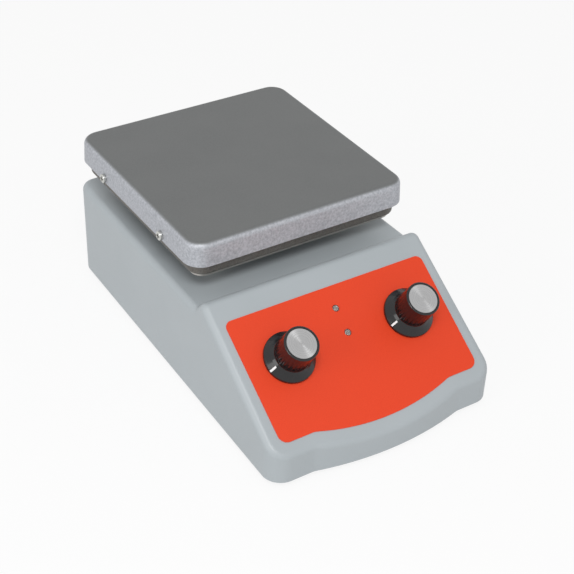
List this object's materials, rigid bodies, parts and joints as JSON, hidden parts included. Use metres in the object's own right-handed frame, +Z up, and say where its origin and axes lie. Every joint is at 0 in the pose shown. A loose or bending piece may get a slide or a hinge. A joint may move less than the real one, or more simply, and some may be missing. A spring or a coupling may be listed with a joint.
{
  "type": "magnetic stirrer hot plate",
  "caption": "Bench magnetic stirrer with a square cast hot plate above a wedge-shaped casing, a sloping control panel with turning knobs, and a mains inlet with fuse drawer at the back.",
  "frame": {"origin": "middle of the bounding box in plan, on the surface the rubber feet stand on", "axes": "+X to the user's right, +Y from the control panel towards the mains inlet, +Z up"},
  "size_m": [0.1254, 0.212, 0.0867],
  "materials": {
    "cast_plate": "cast and bead-blasted, coated grey",
    "painted_casting": "satin grey-white enamel on a die casting",
    "overlay": "orange-red printed polyester film",
    "zinc_steel": "zinc plated steel screws and nuts",
    "pan_steel": "heat-darkened steel sheet",
    "shield_aluminium": "mill-finish aluminium sheet",
    "sheet_steel": "zinc coated steel sheet",
    "mica": "pressed mica",
    "heating_strip": "nickel-chrome strip",
    "fibre": "ceramic fibre felt",
    "ceramic": "steatite",
    "rubber": "moulded rubber",
    "lens": "clear lamp body",
    "circuit_board": "green glass-fibre laminate",
    "black_plastic": "moulded black plastic",
    "knob_plastic": "glossy moulded black",
    "spun_aluminium": "spun, with concentric brushing",
    "white_inlay": "white filled line",
    "motor_steel": "zinc coated steel",
    "bronze": "sintered bronze",
    "ferrite": "ferrite magnet",
    "machined_aluminium": "turned aluminium",
    "copper": "enamelled copper wire",
    "brass": "brass, nickel flashed",
    "fuse_glass": "clear glass tube"
  },
  "bodies": {
    "root": {"top_plate": "cast_plate", "plate_side_screws": "zinc_steel", "mica_sheets": "mica", "heater_foil": "heating_strip", "clamp_plate": "sheet_steel", "clamp_screws": "zinc_steel", "thermal_cutout": "ceramic", "insulation_pad": "fibre", "heater_pan": "pan_steel", "shield_plate": "shield_aluminium", "standoffs": "ceramic", "standoff_screws": "zinc_steel", "standoff_nuts": "zinc_steel", "lead_sleeve": "ceramic", "casing_shell": "painted_casting", "base_cover": "sheet_steel", "base_screws": "zinc_steel", "rubber_feet": "rubber", "foot_screws": "zinc_steel", "panel_overlay": "overlay", "power_led": "lens", "heat_led": "lens", "control_board": "circuit_board", "board_screws": "zinc_steel", "potentiometers": "motor_steel", "pot_nuts": "zinc_steel", "motor_can": "motor_steel", "motor_end_cap": "black_plastic", "motor_bushes": "bronze", "field_magnets": "ferrite", "motor_bracket": "sheet_steel", "motor_screws": "zinc_steel", "board_spacers": "brass", "power_board": "circuit_board", "transformer_core": "motor_steel", "transformer_coil": "copper", "heat_sink": "machined_aluminium", "board_parts": "black_plastic", "inlet_body": "black_plastic", "inlet_blades": "brass", "inlet_screws": "zinc_steel"},
    "stir_knob": {"stir_knob": "knob_plastic", "stir_knob_cap": "spun_aluminium", "stir_knob_pointer": "white_inlay", "stir_knob_screw": "zinc_steel", "stir_knob_shaft": "machined_aluminium"},
    "heat_knob": {"heat_knob": "knob_plastic", "heat_knob_cap": "spun_aluminium", "heat_knob_pointer": "white_inlay", "heat_knob_screw": "zinc_steel", "heat_knob_shaft": "machined_aluminium"},
    "stir_rotor": {"magnet_holder": "machined_aluminium", "drive_magnets": "ferrite", "hub_screw": "zinc_steel", "motor_shaft": "zinc_steel", "motor_armature": "motor_steel"},
    "fuse_drawer": {"fuse_drawer": "black_plastic", "fuse_glass": "fuse_glass", "fuse_caps": "brass"}
  },
  "joints": [
    {"name": "stir_knob_turn", "type": "hinge", "parent": "root", "child": "stir_knob", "pos_m": [-0.0338, -0.06542, 0.04158], "axis": [0, 0.5505, -0.8348], "range_deg": [0, 270]},
    {"name": "heat_knob_turn", "type": "hinge", "parent": "root", "child": "heat_knob", "pos_m": [0.0338, -0.06542, 0.04158], "axis": [0, 0.5505, -0.8348], "range_deg": [0, 270]},
    {"name": "rotor_spin", "type": "hinge", "parent": "root", "child": "stir_rotor", "pos_m": [0, 0.03575, 0.05], "axis": [0, 0, 1], "continuous": true},
    {"name": "fuse_drawer_slide", "type": "slide", "parent": "root", "child": "fuse_drawer", "axis": [0, 1, 0], "range_m": [0, 0.013]}
  ]
}
